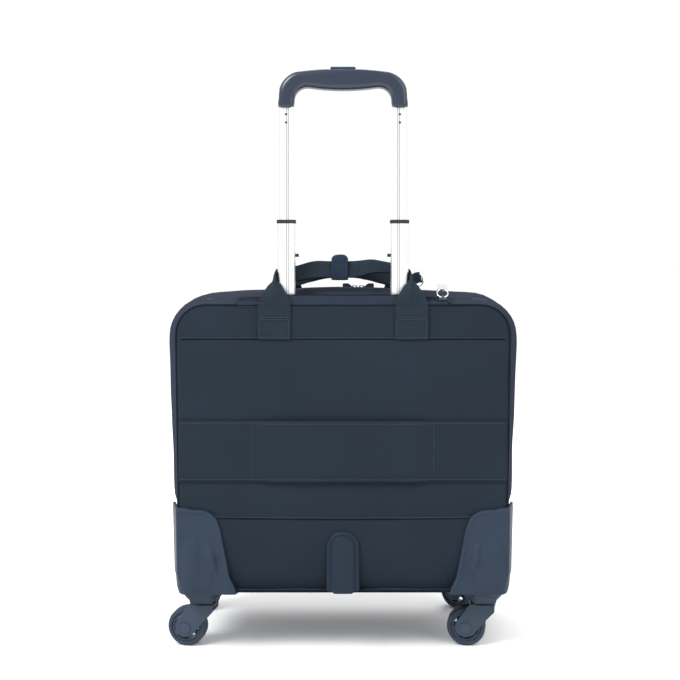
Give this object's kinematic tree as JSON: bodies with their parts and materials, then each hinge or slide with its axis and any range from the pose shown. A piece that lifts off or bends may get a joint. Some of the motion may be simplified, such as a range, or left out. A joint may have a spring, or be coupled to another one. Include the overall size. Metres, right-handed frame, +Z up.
{
  "type": "rolling laptop case",
  "caption": "Soft laptop case on swivelling casters with a two-stage pull handle, webbing carry handles, a luggage sleeve and a zipped lid that folds down.",
  "frame": {"origin": "middle of the footprint on the floor, under the case", "axes": "+Z up; X across the case; the pull handle is on the -Y side and the lid on +Y"},
  "size_m": [0.435, 0.2184, 0.719],
  "materials": {
    "back_fabric": "matt close-woven nylon",
    "gusset_fabric": "matt close-woven nylon",
    "front_fabric": "matt close-woven nylon",
    "lining": "smooth polyester lining",
    "board": "cloth-covered plastic board",
    "zip_tape": "woven tape with coil teeth",
    "webbing": "ribbed nylon webbing",
    "wrap_leather": "fine grain, semi-matt",
    "tube_aluminium": "satin anodised",
    "grip_plastic": "satin moulded",
    "button_plastic": "satin moulded",
    "guard_plastic": "matt moulded, fine grain",
    "bumper_plastic": "matt moulded, fine grain",
    "caster_plastic": "satin moulded",
    "tyre_rubber": "matt polyurethane tread",
    "black_plastic": "matt moulded",
    "steel": "zinc-plated",
    "zip_metal": "enamelled zinc",
    "ring_metal": "polished nickel"
  },
  "bodies": {
    "case": {"back_panel": "back_fabric", "case_gusset": "gusset_fabric", "case_zip_tape": "zip_tape", "centre_bumper": "bumper_plastic", "corner_guard_back_left": "guard_plastic", "corner_guard_back_right": "guard_plastic", "corner_guard_front_left": "guard_plastic", "corner_guard_front_right": "guard_plastic", "floor_board": "board", "front_carry_handle": "webbing", "handle_wrap": "wrap_leather", "laptop_sleeve": "lining", "luggage_sleeve": "back_fabric", "outer_tubes": "tube_aluminium", "rear_carry_handle": "webbing", "ring_loop": "wrap_leather", "slot_lip": "gusset_fabric", "swivel_seats": "black_plastic", "trolley_board": "board", "tube_bracket": "black_plastic"},
    "front_lid": {"lid_gusset": "gusset_fabric", "lid_panel": "front_fabric", "lid_zip_tape": "zip_tape", "front_pocket": "front_fabric"},
    "handle_lower": {"middle_tubes": "tube_aluminium", "tube_collars": "black_plastic"},
    "handle_upper": {"inner_tubes": "tube_aluminium", "grip_back_shell": "grip_plastic", "grip_front_shell": "grip_plastic", "grip_screws": "steel", "lock_blocks": "black_plastic", "button_spring": "steel"},
    "release": {"release_button": "button_plastic", "release_rod_frame": "steel"},
    "pin_left": {"lock_pin_left": "steel"},
    "pin_right": {"lock_pin_right": "steel"},
    "slot_slider": {"slot_zip_slider": "zip_metal"},
    "slot_pull": {"slot_zip_pull": "ring_metal"},
    "ring": {"tag_ring": "ring_metal"},
    "main_slider_left": {"main_zip_slider_left": "zip_metal"},
    "main_pull_left": {"main_zip_pull_left": "zip_metal"},
    "main_slider_right": {"main_zip_slider_right": "zip_metal"},
    "main_pull_right": {"main_zip_pull_right": "zip_metal"},
    "swivel_back_left": {"caster_fork_back_left": "caster_plastic", "caster_axle_back_left": "steel"},
    "wheel_back_left": {"caster_hub_back_left": "caster_plastic", "caster_tyre_back_left": "tyre_rubber"},
    "swivel_back_right": {"caster_fork_back_right": "caster_plastic", "caster_axle_back_right": "steel"},
    "wheel_back_right": {"caster_hub_back_right": "caster_plastic", "caster_tyre_back_right": "tyre_rubber"},
    "swivel_front_left": {"caster_fork_front_left": "caster_plastic", "caster_axle_front_left": "steel"},
    "wheel_front_left": {"caster_hub_front_left": "caster_plastic", "caster_tyre_front_left": "tyre_rubber"},
    "swivel_front_right": {"caster_fork_front_right": "caster_plastic", "caster_axle_front_right": "steel"},
    "wheel_front_right": {"caster_hub_front_right": "caster_plastic", "caster_tyre_front_right": "tyre_rubber"}
  },
  "joints": [
    {"name": "lid_fold", "type": "hinge", "parent": "case", "child": "front_lid", "pos_m": [0, 0.1, 0.096], "axis": [-1, 0, 0], "range_deg": [0, 85]},
    {"name": "handle_lower_slide", "type": "slide", "parent": "case", "child": "handle_lower", "axis": [0, 0, 1], "range_m": [-0.135, 0.12]},
    {"name": "handle_upper_slide", "type": "slide", "parent": "handle_lower", "child": "handle_upper", "axis": [0, 0, 1], "range_m": [-0.135, 0]},
    {"name": "release_press", "type": "slide", "parent": "handle_upper", "child": "release", "axis": [0, 0, -1], "range_m": [0, 0.003], "stiffness_N_per_m": 500, "springref_m": -0.003, "deforming": ["button_spring"]},
    {"name": "pin_left_slide", "type": "slide", "parent": "handle_upper", "child": "pin_left", "axis": [-1, 0, 0], "range_m": [0, 0.0066]},
    {"name": "pin_right_slide", "type": "slide", "parent": "handle_upper", "child": "pin_right", "axis": [1, 0, 0], "range_m": [0, 0.0066]},
    {"name": "main_zip_left_run", "type": "slide", "parent": "case", "child": "main_slider_left", "axis": [1, 0, 0], "range_m": [-0.16, 0]},
    {"name": "main_zip_left_pull", "type": "hinge", "parent": "main_slider_left", "child": "main_pull_left", "pos_m": [0.0169, 0.08075, 0.4445], "axis": [0, 1, 0], "range_deg": [0, 140]},
    {"name": "main_zip_right_run", "type": "slide", "parent": "case", "child": "main_slider_right", "axis": [1, 0, 0], "range_m": [0, 0.12]},
    {"name": "main_zip_right_pull", "type": "hinge", "parent": "main_slider_right", "child": "main_pull_right", "pos_m": [0.0251, 0.08075, 0.4445], "axis": [0, -1, 0], "range_deg": [0, 140]},
    {"name": "slot_zip_run", "type": "slide", "parent": "case", "child": "slot_slider", "axis": [1, 0, 0], "range_m": [-0.026, 0]},
    {"name": "slot_zip_swing", "type": "hinge", "parent": "slot_slider", "child": "slot_pull", "pos_m": [0.1215, -0.0997, 0.4379], "axis": [1, 0, 0], "range_deg": [0, 140]},
    {"name": "tag_ring_swing", "type": "hinge", "parent": "case", "child": "ring", "pos_m": [0.0996, 0.05, 0.4465], "axis": [1, 0, 0], "range_deg": [-70, 70]},
    {"name": "swivel_back_left_turn", "type": "hinge", "parent": "case", "child": "swivel_back_left", "pos_m": [-0.175, -0.068, 0.06], "axis": [0, 0, 1], "continuous": true},
    {"name": "wheel_back_left_spin", "type": "hinge", "parent": "swivel_back_left", "child": "wheel_back_left", "pos_m": [-0.1947, -0.06453, 0.024], "axis": [-0.1736, -0.9848, 0], "continuous": true},
    {"name": "swivel_back_right_turn", "type": "hinge", "parent": "case", "child": "swivel_back_right", "pos_m": [0.175, -0.068, 0.06], "axis": [0, 0, 1], "continuous": true},
    {"name": "wheel_back_right_spin", "type": "hinge", "parent": "swivel_back_right", "child": "wheel_back_right", "pos_m": [0.1553, -0.06453, 0.024], "axis": [-0.1736, -0.9848, 0], "continuous": true},
    {"name": "swivel_front_left_turn", "type": "hinge", "parent": "case", "child": "swivel_front_left", "pos_m": [-0.175, 0.068, 0.06], "axis": [0, 0, 1], "continuous": true},
    {"name": "wheel_front_left_spin", "type": "hinge", "parent": "swivel_front_left", "child": "wheel_front_left", "pos_m": [-0.19232, 0.078, 0.024], "axis": [-0.5, -0.866, 0], "continuous": true},
    {"name": "swivel_front_right_turn", "type": "hinge", "parent": "case", "child": "swivel_front_right", "pos_m": [0.175, 0.068, 0.06], "axis": [0, 0, 1], "continuous": true},
    {"name": "wheel_front_right_spin", "type": "hinge", "parent": "swivel_front_right", "child": "wheel_front_right", "pos_m": [0.15968, 0.08086, 0.024], "axis": [-0.6428, -0.766, 0], "continuous": true}
  ],
  "couplings": [
    {"joint": "pin_left_slide", "follows": "release_press", "ratio": 2.2},
    {"joint": "pin_right_slide", "follows": "release_press", "ratio": 2.2}
  ]
}
